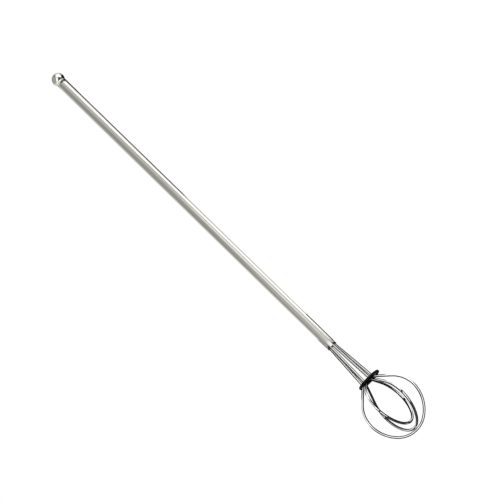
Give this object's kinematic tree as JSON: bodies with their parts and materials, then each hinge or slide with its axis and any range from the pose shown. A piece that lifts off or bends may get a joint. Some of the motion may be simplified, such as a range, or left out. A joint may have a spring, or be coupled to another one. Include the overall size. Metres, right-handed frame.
{
  "type": "wire whisk paint mixer",
  "caption": "Slim steel shaft with a ball on top and nested wire loops below, held apart by a black disc, for stirring paint.",
  "frame": {"origin": "on the tube's axis at its top end, under the ball, where the gripped length starts", "axes": "+Z along the tube towards the ball, +X in the plane of the outer loop"},
  "size_m": [0.0452, 0.0384, 0.3793],
  "materials": {
    "shaft": "drawn and finely brushed along its length",
    "ball": "polished",
    "wire": "bright drawn wire",
    "inner_steel": "plain turned steel",
    "disc": "moulded black, satin",
    "resin": "cast"
  },
  "bodies": {
    "root": {"shaft_tube": "shaft", "ball_knob": "ball", "knob_stud": "inner_steel", "shank_insert": "inner_steel", "wire_loop_outer": "wire", "wire_loop_middle": "wire", "wire_loop_inner": "wire", "wedge_pin": "inner_steel", "bore_seal": "resin", "spreader_disc": "disc"}
  },
  "joints": []
}
